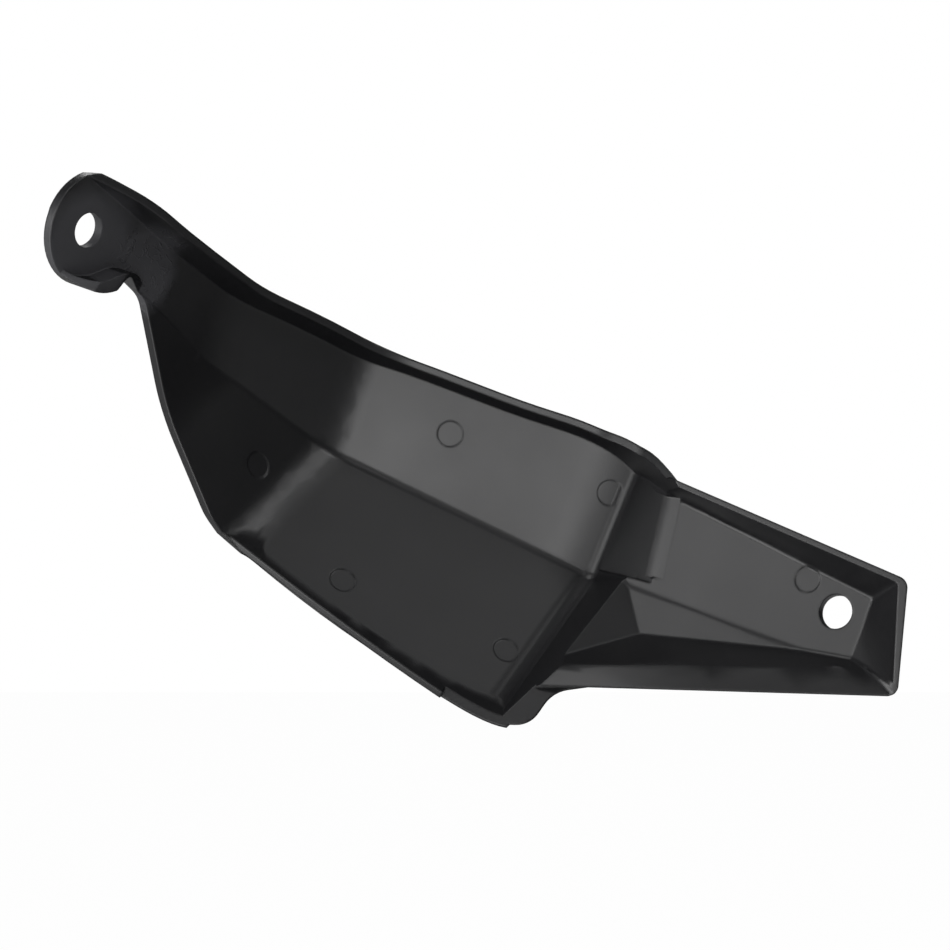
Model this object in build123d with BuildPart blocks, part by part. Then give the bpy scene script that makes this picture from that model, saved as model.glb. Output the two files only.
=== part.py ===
# Motorcycle hand guard: one moulded plastic shell.
# Frame: X outboard along the handlebar, Y forward away from the rider, Z up.
# The origin is the middle of the bar-end bolt hole, on the rider's face of the arm.
import os
from math import cos, radians, sin, sqrt, tan

from build123d import *

os.makedirs("parts", exist_ok=True)

# Moulding: skins, lips, and the reach of the cutting bodies
wall = 2.6
lip_wall = 1.9
far = 160.0

# Bolt holes
bar_hole_d = 9.0
ear_hole_d = 9.0

# Where the bowl sits, and the two bends of its crease
bowl_at = (-92.5, 40.0, 22.2)
bowl_droop = 25.7
crease_lean = 0.35
floor_bend = (-46.0, 0.0)
floor_bend_radius = 24.0
ear_bend = (-81.9, 21.5)
ear_bend_radius = 50.0
ear_rise = 50.0
upper_skew = -0.1
lower_skew = -0.3
lower_rake = 0.8
crease_radius = 5.0
skin_share = 1.075

# End wall of the bowl, where it climbs to the arm; run is the length that its leans are drawn over
run = 10.0
end_at = 33.5
end_lean = 0.66
end_skew = -0.06
low_end_skew = -0.2
low_end_top = (36.5, -12.5, 23)

# Lips of the bowl: how far each leans out, and its outline
top_flare = 0.45
top_points = [
    (-150, -1.5),
    (-133, 5.4),
    (-126.4, 7.7),
    (-114.6, 10.5),
    (-103, 13.0),
    (-88.4, 17.3),
    (-68.2, 23.4),
    (-44.9, 28.8),
    (-16, 31.9),
    (1, 33.6),
    (14, 35.2),
    (24, 34.9),
    (31, 32.8),
    (37.7, 28.0),
    (44, 22.0),
    (54, 10.0),
]
top_rim = [
    (-200, 117.6),
    (-108, 64.1),
    (-76.2, 26.2),
    (-40.3, 4.7),
    (22.9, 4.7),
    (32.9, 9.5),
    (45.5, 23),
    (57.5, 35),
    (far, 35),
]
top_rim_radii = (40, 45, 40, 14, 12, 9, 9)
top_rim_above = 8.0
bottom_flare = 0.6
bottom_points = [
    (-95, -13.5),
    (-53.6, -17.3),
    (-40.4, -18.9),
    (-21.2, -20.8),
    (13.2, -22.5),
    (22, -22.3),
    (29, -21.2),
    (34, -19.0),
    (37.4, -15.6),
    (40.4, -10.3),
    (46, -1),
]
low_rim = ((-40.4, -36.8, 28.8), (13, -45.3, 38.0), (13, -35.3, 44.0))
low_rim_from = (-60, 0)
rim_overlap = 0.15
corner_points = [(20, -44.4), (27.5, -44.2), (34.3, -41.1), (36.1, -30.9), (45, -25.1)]
corner_back = [(42.5, -20.5), (31, -28), (26, -38), (20, -40)]
corner_radii = (9, 7, 9)
corner_depth = 3.0
corner_rim = ((27, -44.5, 38.5), (37.5, -31.5, 34.7), (10, -44.5, 36.8))
corner_rim_from = (10, 8)

# Arm
arm_droop = 23.0
arm_sweep = 27.0
arm_rim = 8.3
arm_rim_bend = -12.8
arm_rim_end = (-90, 44.6)
arm_mouth = 26.0
arm_floor = ((-62, 12.0), (8.2, 7.0), (9.0, -12.2), (-85, -16.4))
arm_slope = ((0, 0.276), (0.925, 0.727), (2.9, 0), (0, 0))
arm_lip_share = ((0, 1.04), (1.36, 1.24), (2.0, 0), (0, 0))
pocket_rake = 24.0
pocket_outboard = ((-46.5, -25.3, 4.4), (-4.5, -13, 0.3), (-38.3, -32.6, 16.1))
pocket_inboard = ((-57, -16, 0.5), (-46.5, -25.3, 4.4), (-60.7, -31.1, 13))
arm_outline = ((-90, 56.1), (17.1, 8.6), (13.85, -21), (-90, -19.4))
arm_corner = 3.0
band_ends = ((-80, 9.3, 3.4), (14, -7.5, -20.9))
band_high = -12.5
band_low = -22.0
band_depth = (5.0, 3.2)
band_clear = (-60, -60)
band_stop = ((9, -10, 0), (15.9, 12, 8.3), (25.5, -12, 8.3))
arm_rounds = [
    (6.0, [(-30, -14, 0)]),
    (2.0, [(-25, 9.5, 0), (8.6, -1, 0), (2, -11.4, 0), (17.5, 14.3, 10), (25, -13, 9)]),
    (3.0, [(-54, -34, 13)]),
]
ramp = ((43.2, 26, 14.6), (47.8, 6, 16.6), (33.4, 2, 0))
ramp_zone = ((-76, -14.9), (-71, -14.6), (-44, -11.3), (-44, 11), (-76, 11))
ramp_foot = 1.5
ramp_over = 0.5
ridge_round = 15.0
ridge_reach = (-21.5, 0.8)
ridge_sink = 0.04
ridge_cap = 3.0

# Ear
ear_r = 15.0
ear_ring_at = (2.0, 1.5)
ear_ring_start = 111
ear_ring_sweep = 212
ear_hole_at = -121.9
ear_hole_up = 2.0
ear_lip = 6.5
ear_lip_line = [(-2, -11.9), (5, -10.9), (9.6, -7.2), (12.6, -3.4), (17.5, -0.6), (28, -0.6)]
ear_lip_crest = (7.5, 13.5)
ear_lip_ends = (-1, 27.5)
ear_lip_low = -15.0
ear_lip_sink = 1.0
ear_plate = ((-17, -17), (26, -17), (26, 9), (-17, 9))
ear_plate_over = 0.5
ear_clear = ((-30, -40), (24, -40), (24, 0), (-30, 0))
side_points = [(14.9, -2.2), (29.0, -2.1), (54.6, -20.6), (76.5, -36.8), (95, -43.4)]
side_radii = (3, 8, 60, 14)
side_close = [(100, -150), (-100, -150), (-100, 100), (-6, 100)]

# Round marks that the ejector pins left on the inner skins
mark_d = 7.0
mark_depth = 0.2
upper_marks = [(-17.8, 18.5), (28.1, 22.9)]
lower_marks = [(-26.4, -36.8), (20.6, -34.3)]
side_marks = [(-18.1, -16.2)]
arm_marks = [(-10.8, 4.9)]

# Frames of the bowl and of the arm: x along the piece, y up, z towards the rider
bowl = Plane(
    origin=bowl_at,
    x_dir=(cos(radians(bowl_droop)), 0, -sin(radians(bowl_droop))),
    z_dir=(0, -1, 0),
)
arm = Plane(
    origin=(0, 0, 0),
    x_dir=(
        cos(radians(arm_sweep)) * cos(radians(arm_droop)),
        -sin(radians(arm_sweep)),
        -cos(radians(arm_sweep)) * sin(radians(arm_droop)),
    ),
    z_dir=(
        -sin(radians(arm_sweep)) * cos(radians(arm_droop)),
        -cos(radians(arm_sweep)),
        sin(radians(arm_sweep)) * sin(radians(arm_droop)),
    ),
)


def place(frame, x, y, z):
    return frame.origin + frame.x_dir * x + frame.y_dir * y + frame.z_dir * z


def way(frame, x, y, z):
    return frame.x_dir * x + frame.y_dir * y + frame.z_dir * z


def facet(frame, a, b, c, out):
    # plane through three points of a frame, facing the hollow, moved out of the hollow
    pa = place(frame, *a)
    normal = (place(frame, *b) - pa).cross(place(frame, *c) - pa).normalized()
    if normal.dot(frame.z_dir) < 0:
        normal = normal * -1
    return Plane(origin=pa - normal * out, z_dir=normal)


# The crease lies in one leaning plane; both skins of the V are drawn out from it
crease_plane = Plane(
    origin=bowl_at,
    x_dir=bowl.x_dir,
    z_dir=bowl.x_dir.cross(way(bowl, 0, crease_lean, 1)),
)
up_way = way(bowl, upper_skew, 1, 0).normalized()
low_way = way(bowl, lower_skew, -1, lower_rake).normalized()
rise = tan(radians(ear_rise))


def crease_sketch(out):
    with BuildSketch(crease_plane) as sketch:
        with BuildLine():
            line = FilletPolyline(
                (ear_bend[0] - far, ear_bend[1] + far * rise),
                ear_bend,
                floor_bend,
                (far, 0),
                radius=(ear_bend_radius, floor_bend_radius),
            )
            Polyline(line @ 1, (far, far * rise + ear_bend[1]), line @ 0)
        make_face()
        if out != 0:
            offset(amount=out, kind=Kind.INTERSECTION)
    return sketch


def wall_region(points, drop, side):
    with BuildSketch(bowl) as sketch:
        with BuildLine():
            line = Spline([(x, y + drop) for x, y in points])
            a = line @ 0
            b = line @ 1
            Polyline(b, (far, b.Y), (far, side * far), (-far, side * far), (-far, a.Y), a)
        make_face()
    return sketch


def bowl_form(out, radius, top_drop, bottom_drop):
    # the hollow of the bowl, or with out above zero the outside of the shell round it
    skin_out = out * skin_share
    with BuildPart() as form:
        extrude(crease_sketch(skin_out).sketch, amount=far, dir=up_way, both=True)
        with BuildPart(mode=Mode.INTERSECT):
            extrude(crease_sketch(skin_out).sketch, amount=far, dir=low_way, both=True)
        # the end wall starts at one point of the crease, so that both its halves share that corner
        high_end = facet(bowl, (end_at, 0, 0), (end_at + run * end_skew, run, 0),
                         (end_at + run * end_lean, 0, run), out)
        low_end = facet(bowl, (end_at, 0, 0), (end_at + run * low_end_skew, -run, run * lower_rake),
                        low_end_top, 0)
        start = crease_plane.origin - crease_plane.y_dir * skin_out
        reach = (high_end.origin - start).dot(high_end.z_dir) / bowl.x_dir.dot(high_end.z_dir)
        corner = start + bowl.x_dir * reach
        split(bisect_by=high_end, keep=Keep.TOP)
        split(bisect_by=Plane(origin=corner, z_dir=low_end.z_dir), keep=Keep.TOP)
        fillet(form.edges().sort_by_distance(corner)[:4], radius)
        with BuildPart(mode=Mode.INTERSECT):
            extrude(
                wall_region(top_points, top_drop, -1).sketch,
                amount=far, dir=way(bowl, 0, top_flare, 1).normalized(), both=True,
            )
        with BuildPart(mode=Mode.INTERSECT):
            extrude(
                wall_region(bottom_points, bottom_drop, 1).sketch,
                amount=far, dir=way(bowl, 0, -bottom_flare, 1).normalized(), both=True,
            )
    return form


def arm_form(out, lip_out):
    # the hollow of the arm from its floor to its mouth, then the two facets of the pocket and the rounds
    rake = radians(pocket_rake)
    with BuildPart() as form:
        for height in (-out, arm_mouth):
            low = height / tan(rake) + out / sin(rake)
            corners = [
                (x + sx * height + lx * lip_out, y + sy * height + ly * lip_out)
                for (x, y), (sx, sy), (lx, ly) in zip(arm_floor, arm_slope, arm_lip_share)
            ]
            with BuildSketch(arm.offset(height)):
                Polygon(*corners[:2], *[(x, y - low) for x, y in corners[2:]], align=None)
        loft(ruled=True)
        split(bisect_by=facet(arm, *pocket_outboard, out))
        split(bisect_by=facet(arm, *pocket_inboard, out))
        if out == 0:
            for radius, points in arm_rounds:
                fillet([form.edges().sort_by_distance(place(arm, *p))[0] for p in points], radius)
    return form


def flange_form(inboard, outboard):
    # the twisted band under the arm, of a given depth forward of its rider's face at each end
    with BuildPart() as form:
        for (x, high, low), depth in zip(band_ends, (inboard, outboard)):
            with BuildSketch(Plane(origin=(x, 0, 0), x_dir=(0, 1, 0), z_dir=(1, 0, 0))):
                Polygon(
                    (high, band_high), (low, band_low), (low + depth, band_low), (high + depth, band_high),
                    align=None,
                )
        loft(ruled=True)
    return form


# Ear plane: the skin at the inboard end, round the ear bolt hole
ear_way = (crease_plane.x_dir - crease_plane.y_dir * rise).normalized()
ear = Plane(
    origin=crease_plane.origin
    + crease_plane.x_dir * ear_hole_at
    + crease_plane.y_dir * (ear_bend[1] + (ear_bend[0] - ear_hole_at) * rise)
    + up_way * ear_hole_up,
    x_dir=ear_way,
    z_dir=ear_way.cross(up_way),
)

# Ramp at the top of the end wall, and the ridge where it meets the floor of the arm
ramp_plane = facet(bowl, *ramp, 0)
ridge_way = ramp_plane.z_dir.cross(arm.z_dir).normalized()
floor_way = ridge_way.cross(arm.z_dir)
ridge_at = ramp_plane.origin.dot(ramp_plane.z_dir) / floor_way.dot(ramp_plane.z_dir)
ridge = Plane(origin=floor_way * ridge_at, x_dir=floor_way, z_dir=floor_way.cross(arm.z_dir))
ridge_turn = radians(arm.z_dir.get_angle(ramp_plane.z_dir))
ridge_half = ridge_round * tan(ridge_turn / 2)

# Inner skins of the bowl that carry ejector marks
upper_skin = Plane(origin=bowl_at, x_dir=bowl.x_dir, z_dir=bowl.x_dir.cross(up_way))
lower_skin = Plane(origin=bowl_at, x_dir=bowl.x_dir, z_dir=low_way.cross(bowl.x_dir))
side_way = (
    crease_plane.x_dir * (floor_bend[0] - ear_bend[0]) + crease_plane.y_dir * (floor_bend[1] - ear_bend[1])
).normalized()
side_skin = Plane(
    origin=crease_plane.origin + crease_plane.x_dir * floor_bend[0] + crease_plane.y_dir * floor_bend[1],
    x_dir=side_way,
    z_dir=low_way.cross(side_way),
)

top_inset = lip_wall * sqrt(1 + top_flare**2)
bottom_inset = lip_wall * sqrt(1 + bottom_flare**2)
bowl_outer = bowl_form(wall, crease_radius + wall, 0, 0)
arm_outer = arm_form(wall, lip_wall)
with BuildPart() as hollow:
    add(bowl_form(0, crease_radius, -top_inset, bottom_inset).part)
    add(arm_form(0, 0).part)
    with BuildPart():
        with BuildSketch(ear):
            Polygon(*ear_clear, align=None)
        extrude(amount=far / 4)
    # ramp, then the round along the ridge
    with BuildPart():
        with BuildSketch(arm.offset(ramp_over)):
            Polygon(*ramp_zone, align=None)
        extrude(amount=-far / 8)
        split(bisect_by=ramp_plane)
        split(bisect_by=bowl.offset(ramp_foot))
    with BuildPart():
        with BuildSketch(ridge.offset(ridge_reach[0])):
            with BuildLine():
                arc = RadiusArc(
                    (ridge_half, -ridge_sink),
                    (-ridge_half * cos(ridge_turn), -ridge_half * sin(ridge_turn) - ridge_sink),
                    -ridge_round,
                )
                Polyline(arc @ 1, ((arc @ 1).X, ridge_cap), (ridge_half, ridge_cap), arc @ 0)
            make_face()
        extrude(amount=ridge_reach[1] - ridge_reach[0])

# Outline of the ear, the notch and the inboard edge, square to the ear plate
with BuildPart() as inboard_cut:
    with BuildSketch(ear):
        with BuildLine():
            ring = CenterArc(ear_ring_at, ear_r, ear_ring_start, ear_ring_sweep)
            side = FilletPolyline(ring @ 1, *side_points, radius=side_radii)
            Polyline(side @ 1, *side_close, ring @ 0)
        make_face()
    extrude(amount=far, both=True)

# The one moulded piece
with BuildPart() as hand_guard:
    add(bowl_outer.part)
    # rim of the top lip
    with BuildPart(mode=Mode.SUBTRACT):
        with BuildSketch(crease_plane):
            with BuildLine():
                edge = FilletPolyline(*top_rim, radius=top_rim_radii)
                Polyline(edge @ 1, (far, 2 * far), (top_rim[0][0], 2 * far), edge @ 0)
            make_face()
        extrude(amount=far, dir=up_way, both=True)
        split(bisect_by=Plane(origin=place(bowl, 0, top_rim_above, 0), z_dir=bowl.y_dir))
    # rim of the bottom lip, which runs out into the skin at its inboard end
    for rim, (first, top) in ((low_rim, low_rim_from), (corner_rim, corner_rim_from)):
        with BuildPart(mode=Mode.SUBTRACT):
            extrude(crease_sketch(-rim_overlap).sketch, amount=far, dir=low_way, both=True)
            split(bisect_by=facet(bowl, *rim, 0))
            split(bisect_by=Plane(origin=place(bowl, first, 0, 0), z_dir=bowl.x_dir))
            split(bisect_by=Plane(origin=place(bowl, 0, top, 0), z_dir=bowl.y_dir * -1))
    add(inboard_cut.part, mode=Mode.SUBTRACT)
    # arm and its bottom band inside their outline
    with BuildPart():
        add(arm_outer.part)
        with BuildPart(mode=Mode.SUBTRACT):
            with BuildSketch(Plane(origin=arm.origin, x_dir=arm.y_dir, z_dir=arm.x_dir)):
                Polygon(
                    (far, arm_rim), (arm_rim_bend, arm_rim), arm_rim_end, (arm_rim_end[0], far), (far, far),
                    align=None,
                )
            extrude(amount=far, both=True)
        with BuildPart(mode=Mode.SUBTRACT):
            add(flange_form(*band_clear).part)
            split(bisect_by=facet(arm, *band_stop, 0))
        add(flange_form(*band_depth).part)
        with BuildPart(mode=Mode.INTERSECT):
            with BuildSketch(Plane.XZ):
                with BuildLine():
                    edge = FilletPolyline(*arm_outline, radius=arm_corner)
                    Line(edge @ 1, edge @ 0)
                make_face()
            extrude(amount=far, both=True)
    # corner where the bottom lip turns up into the band
    with BuildPart():
        with BuildSketch(bowl):
            with BuildLine():
                edge = FilletPolyline(*corner_points, radius=corner_radii)
                Polyline(edge @ 1, *corner_back, edge @ 0)
            make_face()
        extrude(amount=far / 2)
        rim_plane = facet(bowl, *corner_rim, 0)
        split(bisect_by=Plane(origin=rim_plane.origin, z_dir=rim_plane.z_dir * -1))
        split(bisect_by=rim_plane.offset(-corner_depth))
    # flat ear plate, cleared of the lower skin in front of it
    with BuildPart():
        with BuildSketch(ear):
            Polygon(*ear_plate, align=None)
        extrude(amount=-wall)
        with BuildSketch(ear):
            Polygon(*ear_plate, align=None)
        extrude(amount=ear_plate_over)
        add(inboard_cut.part, mode=Mode.SUBTRACT)
    add(hollow.part, mode=Mode.SUBTRACT)
    # lip on the lower side of the ear, sloped down at both ends
    with BuildPart():
        with BuildSketch(ear):
            with BuildLine():
                edge = Spline(ear_lip_line)
                Polyline(
                    edge @ 1, (ear_lip_line[-1][0], ear_lip_low), (ear_lip_line[0][0], ear_lip_low),
                    edge @ 0,
                )
            make_face()
        extrude(amount=ear_lip)
        with BuildPart(mode=Mode.INTERSECT):
            with BuildSketch(Plane(origin=ear.origin, x_dir=ear.x_dir, z_dir=ear.y_dir * -1)):
                Polygon(
                    (ear_lip_ends[0], -ear_lip_sink), (ear_lip_crest[0], ear_lip),
                    (ear_lip_crest[1], ear_lip), (ear_lip_ends[1], -ear_lip_sink), align=None,
                )
            extrude(amount=far / 4, both=True)
        add(inboard_cut.part, mode=Mode.SUBTRACT)
    # ejector marks
    for skin, marks in (
        (upper_skin, upper_marks), (lower_skin, lower_marks), (side_skin, side_marks), (arm, arm_marks),
    ):
        with BuildSketch(skin):
            with Locations(*marks):
                Circle(mark_d / 2)
        extrude(amount=-mark_depth, mode=Mode.SUBTRACT)
    # bolt holes
    with BuildSketch(arm):
        Circle(bar_hole_d / 2)
    extrude(amount=far / 8, both=True, mode=Mode.SUBTRACT)
    with BuildSketch(ear):
        Circle(ear_hole_d / 2)
    extrude(amount=far / 8, both=True, mode=Mode.SUBTRACT)

hand_guard.part.label = "hand_guard"
export_step(hand_guard.part, "parts/hand_guard.step")
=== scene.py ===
from collections import namedtuple
from math import cos, radians

import bmesh
import bpy
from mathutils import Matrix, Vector


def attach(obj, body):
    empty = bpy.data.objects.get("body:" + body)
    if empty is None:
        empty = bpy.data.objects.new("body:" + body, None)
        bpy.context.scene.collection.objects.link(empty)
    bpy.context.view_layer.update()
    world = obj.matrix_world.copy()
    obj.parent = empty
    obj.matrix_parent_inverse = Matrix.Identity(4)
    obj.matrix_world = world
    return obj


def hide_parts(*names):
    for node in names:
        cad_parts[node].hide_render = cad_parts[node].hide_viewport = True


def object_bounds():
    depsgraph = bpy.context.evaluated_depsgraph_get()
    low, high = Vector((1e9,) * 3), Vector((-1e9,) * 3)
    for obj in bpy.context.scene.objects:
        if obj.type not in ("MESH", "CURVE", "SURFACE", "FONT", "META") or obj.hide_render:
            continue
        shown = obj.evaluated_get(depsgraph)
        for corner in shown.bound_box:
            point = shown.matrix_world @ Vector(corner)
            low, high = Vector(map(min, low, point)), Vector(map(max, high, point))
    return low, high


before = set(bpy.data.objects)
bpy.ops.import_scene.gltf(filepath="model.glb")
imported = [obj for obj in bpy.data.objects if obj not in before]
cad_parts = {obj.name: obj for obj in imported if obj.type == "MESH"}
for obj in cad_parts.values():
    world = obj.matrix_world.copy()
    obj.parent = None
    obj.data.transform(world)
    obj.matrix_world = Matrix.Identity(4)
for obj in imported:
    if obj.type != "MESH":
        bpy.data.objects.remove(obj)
cad_low, cad_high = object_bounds()

# Camera, in metres: level, a metre behind the bar-end hole, looking forward
camera_place = Vector((-0.0938, -1.0, 0.0355))
picture_half_width = 0.1235
sensor_width = 36.0

# Shell mesh
weld_distance = 0.00001
flat_angle = radians(0.06)
strip_width = 0.004
strip_turn = radians(32)
bend_turn = radians(12)

# Soft folds of the bowl: a place on each of the two walls, in metres, and the turn from the first wall to
# the second: how far from the fold, first wall negative, and the share of the turn that is done there
upper_wall = (-0.082, 0.040, 0.041)
lower_wall = (-0.102, 0.024, 0.004)
high_end_wall = (-0.0465, 0.031, 0.0305)
low_end_wall = (-0.067, 0.015, -0.007)
soft_folds = (
    (upper_wall, high_end_wall, ((-0.015, 0.0), (-0.0015, 0.25), (0.002, 1.0))),
    (lower_wall, low_end_wall, ((-0.005, 0.0), (-0.001, 0.6), (0.003, 1.0))),
)
# What counts as a wall: least area in square metres. What belongs to a fold: the step from a wall's plane in
# metres, the tilt to it, and how far a face may look along the fold
wall_area = 0.00008
wall_step = 0.0012
wall_tilt = radians(12)
line_share = 0.12

# The rider's side of the shell: faces that look back to the rider at least this much
rider_facing = -0.3

# Matt zones of the ear, in metres: middle and radius
ear_zone = ((-0.196, -0.020, 0.095), 0.022)
neck_zone = ((-0.179, -0.009, 0.088), 0.016)

# Finish: lengths in metres, the share of noise in the ragged edge, the roughness that the matt part adds
flow_length = 0.030
ragged_length = 0.008
pit_length = 0.0025
grain_length = 0.0006
edge_radius = 0.0008
ragged_share = 0.3
matt_gain = 0.22

# Studio: lengths in metres, the white share of the paper that the camera sees, the strength of the room
floor_drop = 0.16
floor_half = 3.0
white_share = 0.985
room_light = 0.06

Fold = namedtuple("Fold", "point line normals away turn")


def hex_colour(code):
    # sRGB hex to the linear colour that a shader takes
    channels = [int(code[i:i + 2], 16) / 255 for i in (1, 3, 5)]
    linear = [c / 12.92 if c <= 0.04045 else ((c + 0.055) / 1.055) ** 2.4 for c in channels]
    return (*linear, 1.0)


def node(tree, kind, settings=None, links=None, **values):
    # one shader node: its own settings, the links into it, and constant values on its sockets
    made = tree.nodes.new(kind)
    for name, value in (settings or {}).items():
        setattr(made, name, value)
    for name, value in values.items():
        made.inputs[name.replace("_", " ")].default_value = value
    for name, source in (links or {}).items():
        tree.links.new(source, made.inputs[name])
    return made


def new_material(name):
    material = bpy.data.materials.new(name)
    material.use_nodes = True
    material.node_tree.nodes.clear()
    return material, material.node_tree


def moulded_black_plastic():
    # Injection-moulded nylon, satin from a polished mould: near-black body, soft wide highlights and a
    # fine even grain. The flow of the plastic leaves slow, faint changes in gloss. The insert that forms
    # the ear was spark-eroded and not polished, so the ear is greyer and more matt, with short pits.
    material, tree = new_material("moulded_black_plastic")
    place = node(tree, "ShaderNodeTexCoord").outputs["Object"]
    # one wave of gloss change every 30 mm or so
    flow = node(tree, "ShaderNodeTexNoise", None, {"Vector": place}, Scale=1 / flow_length, Detail=3.0)
    gloss = node(
        tree, "ShaderNodeMapRange", None, {"Value": flow.outputs["Fac"]},
        From_Min=0.3, From_Max=0.7, To_Min=0.32, To_Max=0.37,
    )
    # the matt part, on the rider's side: the disc of the ear and the start of its neck, with a ragged edge
    ragged = node(tree, "ShaderNodeTexNoise", None, {"Vector": place}, Scale=1 / ragged_length, Detail=4.0)
    spread = node(tree, "ShaderNodeMath", {"operation": "MULTIPLY"}, {0: ragged.outputs["Fac"]})
    spread.inputs[1].default_value = ragged_share
    side = node(tree, "ShaderNodeAttribute", {"attribute_name": "rider_side"})
    zones = []
    for middle, radius in (ear_zone, neck_zone):
        centred = node(
            tree, "ShaderNodeMapping", None, {"Vector": place},
            Location=-Vector(middle) / radius, Scale=[1 / radius] * 3,
        )
        ball = node(
            tree, "ShaderNodeTexGradient", {"gradient_type": "SPHERICAL"},
            {"Vector": centred.outputs["Vector"]},
        )
        patch = node(
            tree, "ShaderNodeMapRange", None,
            {"Value": ball.outputs["Fac"], "From Min": spread.outputs[0]},
            From_Max=0.4,
        )
        zones.append(
            node(
                tree, "ShaderNodeMath", {"operation": "MULTIPLY"},
                {0: patch.outputs["Result"], 1: side.outputs["Fac"]},
            )
        )
    matt = node(
        tree, "ShaderNodeMath", {"operation": "MAXIMUM"},
        {0: zones[0].outputs[0], 1: zones[1].outputs[0]},
    )
    roughness = node(
        tree, "ShaderNodeMath", {"operation": "MULTIPLY_ADD"},
        {0: matt.outputs[0], 2: gloss.outputs["Result"]},
    )
    roughness.inputs[1].default_value = matt_gain
    # scattered pits about 2.5 mm long, on the neck alone
    waves = node(
        tree, "ShaderNodeTexNoise", None, {"Vector": place},
        Scale=1 / pit_length, Detail=2.0, Distortion=1.5,
    )
    pits = node(
        tree, "ShaderNodeMapRange", None, {"Value": waves.outputs["Fac"]},
        From_Min=0.56, From_Max=0.66,
    )
    pitted = node(
        tree, "ShaderNodeMath", {"operation": "MULTIPLY"},
        {0: pits.outputs["Result"], 1: zones[1].outputs[0]},
    )
    # grain of about 0.3 mm, drawn at 0.6 mm so that it shows
    grain = node(tree, "ShaderNodeTexNoise", None, {"Vector": place}, Scale=1 / grain_length, Detail=2.0)
    # the small radius that the mould leaves on every edge
    edge = node(tree, "ShaderNodeBevel", {"samples": 8}, Radius=edge_radius)
    fine = node(
        tree, "ShaderNodeBump", None,
        {"Height": grain.outputs["Fac"], "Normal": edge.outputs["Normal"]},
        Strength=0.06, Distance=0.0002,
    )
    coarse = node(
        tree, "ShaderNodeBump", None,
        {"Height": pitted.outputs[0], "Normal": fine.outputs["Normal"]},
        Strength=0.45, Distance=0.0005,
    )
    body = node(
        tree, "ShaderNodeMixRGB", None, {"Fac": matt.outputs[0]},
        Color1=hex_colour("#101012"), Color2=hex_colour("#333336"),
    )
    shade = node(
        tree, "ShaderNodeBsdfPrincipled", None,
        {
            "Base Color": body.outputs["Color"],
            "Roughness": roughness.outputs[0],
            "Normal": coarse.outputs["Normal"],
        },
        IOR=1.5,
    )
    node(tree, "ShaderNodeOutputMaterial", None, {"Surface": shade.outputs["BSDF"]})
    return material


def wall_at(form, place):
    # the flat wall of the bowl whose middle is nearest to a place
    walls = [f for f in form.faces if f.calc_area() > wall_area and f.normal.y < 0]
    return min(walls, key=lambda f: (f.calc_center_median() - Vector(place)).length)


def find_folds(form):
    # where two flat walls of the bowl meet: a point on the line, the line, and for each wall its normal
    # and the direction that leads away from the line
    folds = []
    for first, second, turn in soft_folds:
        pair = [wall_at(form, place) for place in (first, second)]
        normals = [f.normal.copy() for f in pair]
        here, there = [f.verts[0].co.copy() for f in pair]
        line = normals[0].cross(normals[1]).normalized()
        into = line.cross(normals[0])
        point = here + into * ((there - here).dot(normals[1]) / into.dot(normals[1]))
        away = []
        for wall, normal in zip(pair, normals):
            side = line.cross(normal)
            away.append(side if (wall.calc_center_median() - point).dot(side) > 0 else -side)
        folds.append(Fold(point, line, normals, away, turn))
    return folds


def cut_beside_folds(form, folds):
    # a line across the walls wherever the turn of a fold changes its pace; the form stays as it is
    for fold in folds:
        for offset, _ in fold.turn:
            wall = 0 if offset < 0 else 1
            flat = [
                f for f in form.faces
                if f.normal.angle(fold.normals[wall]) < wall_tilt
                and abs((f.calc_center_median() - fold.point).dot(fold.normals[wall])) < wall_step
            ]
            edges = list({e for f in flat for e in f.edges})
            corners = list({v for f in flat for v in f.verts})
            bmesh.ops.bisect_plane(
                form, geom=flat + edges + corners, dist=weld_distance,
                plane_co=fold.point + fold.away[wall] * abs(offset), plane_no=fold.away[wall],
            )


def fold_offset(fold, place):
    # how far a place lies from the fold, negative on the side of the first wall
    from_line = place - fold.point
    across = from_line.dot(fold.away[1]) - from_line.dot(fold.away[0])
    return across / (1 - fold.away[0].dot(fold.away[1]))


def turn_share(fold, place):
    # how much of the turn from the first wall to the second is done at a place
    offset = fold_offset(fold, place)
    done = fold.turn[0][1]
    for (start, low), (end, high) in zip(fold.turn, fold.turn[1:]):
        if offset > start:
            done = low + (high - low) * min((offset - start) / (end - start), 1)
    return done


def in_fold(fold, face):
    # a face belongs to the round when it lies by the fold and faces between the two walls
    offset = fold_offset(fold, face.center)
    heights = [abs((face.center - fold.point).dot(normal)) for normal in fold.normals]
    middle = (fold.normals[0] + fold.normals[1]).normalized()
    return (
        fold.turn[0][0] <= offset <= fold.turn[-1][0] and min(heights) < wall_step
        and abs(face.normal.dot(fold.line)) < line_share
        and face.normal.angle(middle) < fold.normals[0].angle(middle) + wall_tilt
    )


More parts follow.
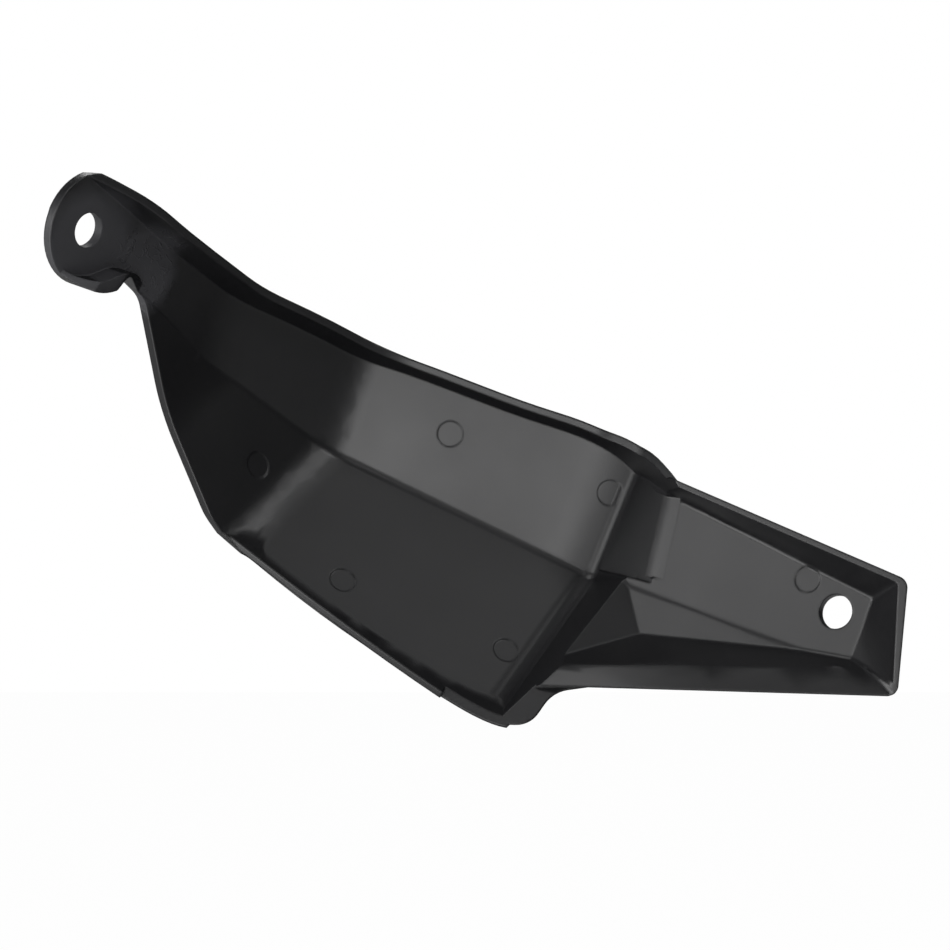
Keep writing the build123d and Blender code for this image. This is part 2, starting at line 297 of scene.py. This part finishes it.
def turn_corner_normals(mesh, folds):
    # a wide face keeps its own direction, and the narrow strips of a round turn between their neighbours;
    # beside a soft fold the direction turns evenly from one wall to the other
    faces = mesh.polygons
    around = [[] for _ in mesh.vertices]
    limits = []
    for face in faces:
        edges = [(mesh.vertices[a].co - mesh.vertices[b].co).length for a, b in face.edge_keys]
        narrow = 2 * face.area < strip_width * sum(edges)
        limits.append(cos(strip_turn if narrow else bend_turn))
        for corner in face.vertices:
            around[corner].append(face.index)
    normals = []
    for face in faces:
        own_folds = [fold for fold in folds if in_fold(fold, face)]
        for corner in face.vertices:
            beside = [faces[i] for i in around[corner]]
            near = [other for other in beside if other.normal.dot(face.normal) > limits[face.index]]
            normal = sum((other.normal * other.area for other in near), Vector()).normalized()
            turned = normal.copy()
            for fold in own_folds:
                ends = [face.normal if face.normal.angle(n) < wall_tilt else n for n in fold.normals]
                share = turn_share(fold, mesh.vertices[corner].co)
                turned += ends[0].lerp(ends[1], share).normalized() - normal
            normals.append(turned.normalized())
    mesh.normals_split_custom_set(normals)


def shell():
    # the moulded piece: the CAD mesh with its triangles welded, smooth over the rounds, crisp at the folds
    mesh = bpy.data.meshes.new("guard_shell")
    form = bmesh.new()
    form.from_mesh(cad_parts["hand_guard"].data)
    bmesh.ops.remove_doubles(form, verts=form.verts, dist=weld_distance)
    bmesh.ops.dissolve_limit(form, angle_limit=flat_angle, verts=form.verts, edges=form.edges)
    folds = find_folds(form)
    cut_beside_folds(form, folds)
    for face in form.faces:
        face.smooth = True
    form.to_mesh(mesh)
    form.free()
    turn_corner_normals(mesh, folds)
    # the rider's side of the shell, where the ear's matt patch is
    side = mesh.attributes.new("rider_side", "FLOAT", "FACE")
    for face in mesh.polygons:
        side.data[face.index].value = 1.0 if face.normal.y < rider_facing else 0.0
    mesh.materials.append(moulded_black_plastic())
    piece = bpy.data.objects.new("guard_shell", mesh)
    bpy.context.scene.collection.objects.link(piece)
    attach(piece, "root")
    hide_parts("hand_guard")


def pale_paper():
    # matt white paper sweep; to the eye of the camera it is nearly white and keeps a faint shadow
    material, tree = new_material("pale_paper")
    paper = node(
        tree, "ShaderNodeBsdfPrincipled", None, None,
        Base_Color=hex_colour("#D0D0D0"), Roughness=0.9, Specular_IOR_Level=0.1,
    )
    glow = node(tree, "ShaderNodeEmission", None, None, Color=(1, 1, 1, 1), Strength=1.0)
    seen = node(tree, "ShaderNodeLightPath")
    share = node(tree, "ShaderNodeMath", {"operation": "MULTIPLY"}, {0: seen.outputs["Is Camera Ray"]})
    share.inputs[1].default_value = white_share
    both = node(
        tree, "ShaderNodeMixShader", None,
        {0: share.outputs[0], 1: paper.outputs["BSDF"], 2: glow.outputs["Emission"]},
    )
    node(tree, "ShaderNodeOutputMaterial", None, {"Surface": both.outputs["Shader"]})
    return material


def studio_floor():
    mesh = bpy.data.meshes.new("studio_floor")
    form = bmesh.new()
    bmesh.ops.create_grid(form, x_segments=1, y_segments=1, size=floor_half)
    bmesh.ops.translate(form, verts=form.verts, vec=(0, 0, cad_low.z - floor_drop))
    form.to_mesh(mesh)
    form.free()
    mesh.materials.append(pale_paper())
    floor = bpy.data.objects.new("studio_floor", mesh)
    bpy.context.scene.collection.objects.link(floor)


def white_room():
    # dim grey room that shows as plain white behind the object
    world = bpy.data.worlds.new("white_room")
    bpy.context.scene.world = world
    world.use_nodes = True
    tree = world.node_tree
    tree.nodes.clear()
    seen = node(tree, "ShaderNodeLightPath")
    room = node(tree, "ShaderNodeBackground", None, None, Color=(1, 1, 1, 1), Strength=room_light)
    white = node(tree, "ShaderNodeBackground", None, None, Color=(1, 1, 1, 1), Strength=1.0)
    both = node(
        tree, "ShaderNodeMixShader", None,
        {0: seen.outputs["Is Camera Ray"], 1: room.outputs["Background"], 2: white.outputs["Background"]},
    )
    node(tree, "ShaderNodeOutputWorld", None, {"Surface": both.outputs["Shader"]})


def softbox(name, place, aim, size, power):
    # one lamp that lights the object and stays out of the picture
    lamp = bpy.data.lights.new(name, "AREA")
    lamp.shape = "RECTANGLE"
    lamp.size = size[0]
    lamp.size_y = size[1]
    lamp.energy = power
    box = bpy.data.objects.new(name, lamp)
    box.location = place
    box.rotation_mode = "QUATERNION"
    box.rotation_quaternion = (Vector(aim) - Vector(place)).to_track_quat("-Z", "Y")
    box.visible_camera = False
    bpy.context.scene.collection.objects.link(box)


def studio_lamps():
    # a tent of softboxes about a metre and a half away, brightest from the camera's side and from the left,
    # and a small one low on the left that picks out the rims
    middle = (cad_low + cad_high) / 2
    softbox("front_softbox", (-0.09, -1.50, 0.03), middle, (0.6, 0.6), 6.5)
    softbox("front_left_softbox", (-0.75, -1.30, 0.20), middle, (0.6, 0.6), 1.5)
    softbox("left_front_softbox", (-1.20, -0.90, 0.49), middle, (0.6, 0.6), 3.8)
    softbox("left_softbox", (-1.45, -0.35, 0.25), middle, (0.5, 0.5), 5.6)
    softbox("high_left_softbox", (-0.58, -0.47, 1.30), middle, (0.5, 0.5), 3.1)
    softbox("high_right_softbox", (0.53, -0.31, 1.30), middle, (0.5, 0.5), 0.9)
    softbox("right_softbox", (0.92, -0.58, 0.93), middle, (0.4, 0.4), 3.2)
    softbox("top_softbox", (-0.05, 0.05, 1.50), middle, (0.5, 0.4), 0.8)
    softbox("high_front_softbox", (0.10, -1.20, 0.90), middle, (0.3, 0.3), 1.0)
    softbox("low_left_softbox", (-0.42, -0.18, -0.13), middle, (0.25, 0.25), 0.8)
    softbox("high_back_softbox", (-0.15, 0.85, 1.20), middle, (0.6, 0.4), 5.0)


def photo_camera():
    lens = bpy.data.cameras.new("photo_camera")
    lens.sensor_width = sensor_width
    lens.lens = sensor_width / 2 / picture_half_width
    eye = bpy.data.objects.new("photo_camera", lens)
    eye.location = camera_place
    eye.rotation_euler = (radians(90), 0, 0)
    bpy.context.scene.collection.objects.link(eye)
    bpy.context.scene.camera = eye


shell()
studio_floor()
white_room()
studio_lamps()
photo_camera()
bpy.context.scene.view_settings.view_transform = "Standard"
